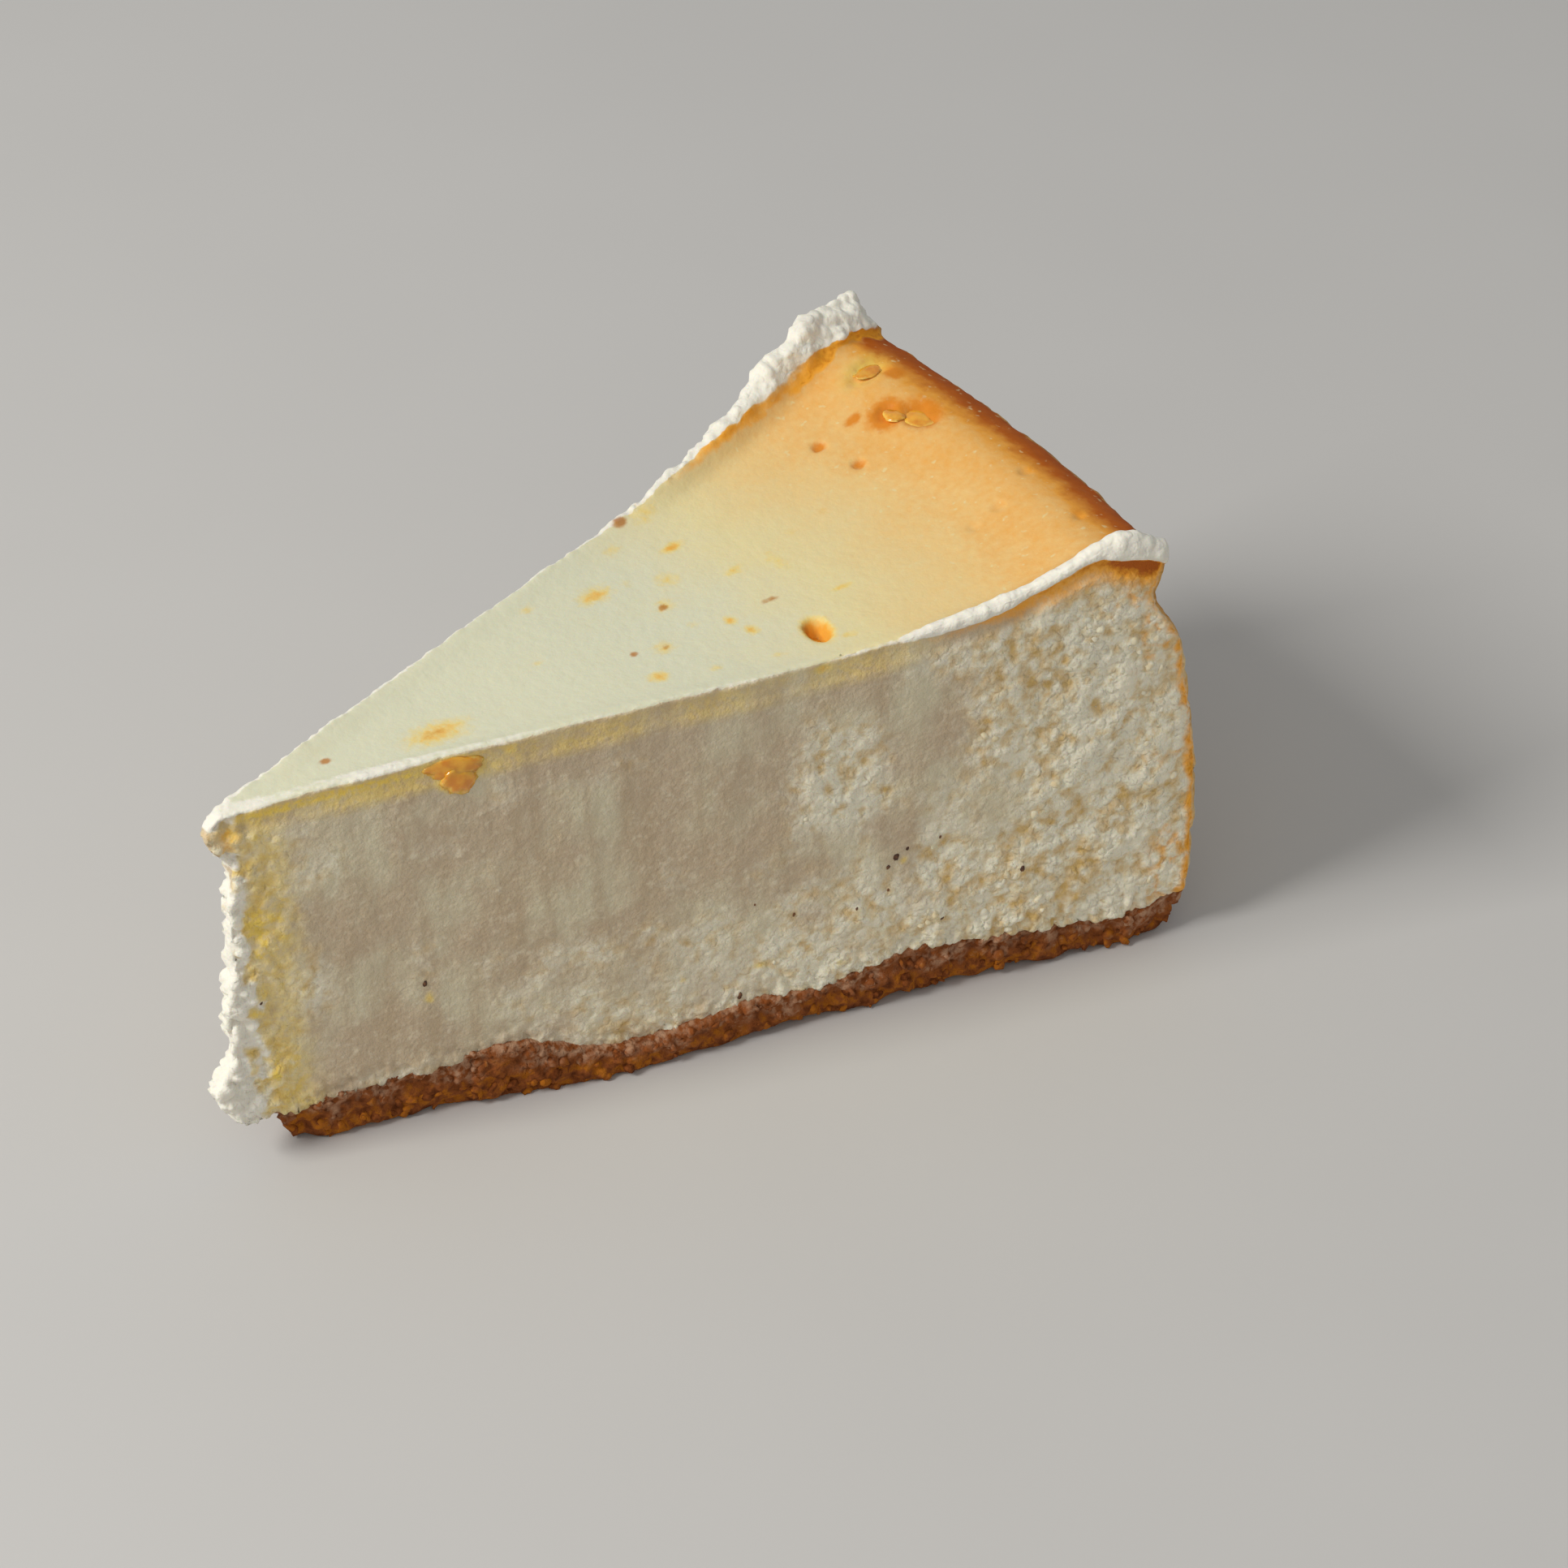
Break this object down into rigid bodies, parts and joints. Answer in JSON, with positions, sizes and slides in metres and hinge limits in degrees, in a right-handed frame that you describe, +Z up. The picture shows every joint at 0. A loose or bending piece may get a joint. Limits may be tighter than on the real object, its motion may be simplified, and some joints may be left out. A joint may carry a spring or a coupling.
{
  "type": "cheesecake slice",
  "caption": "Wedge slice of plain baked cheesecake on a crumb base, with a golden browned top, a raised rim and ragged cut edges.",
  "frame": {"origin": "on the surface that the slice stands on, below the middle of its box", "axes": "+X from the tip to the outer rim along the middle of the slice, +Z up, the front cut face towards -Y"},
  "size_m": [0.1318, 0.0698, 0.067],
  "materials": {
    "filling": "moist baked cream cheese, cream coloured, matt and slightly granular where cut, satin and golden brown on the baked top and rim",
    "crumb": "pressed biscuit crumb, brown, dry, coarse and rough"
  },
  "bodies": {
    "root": {"filling": "filling", "crumb_base": "crumb"}
  },
  "joints": []
}
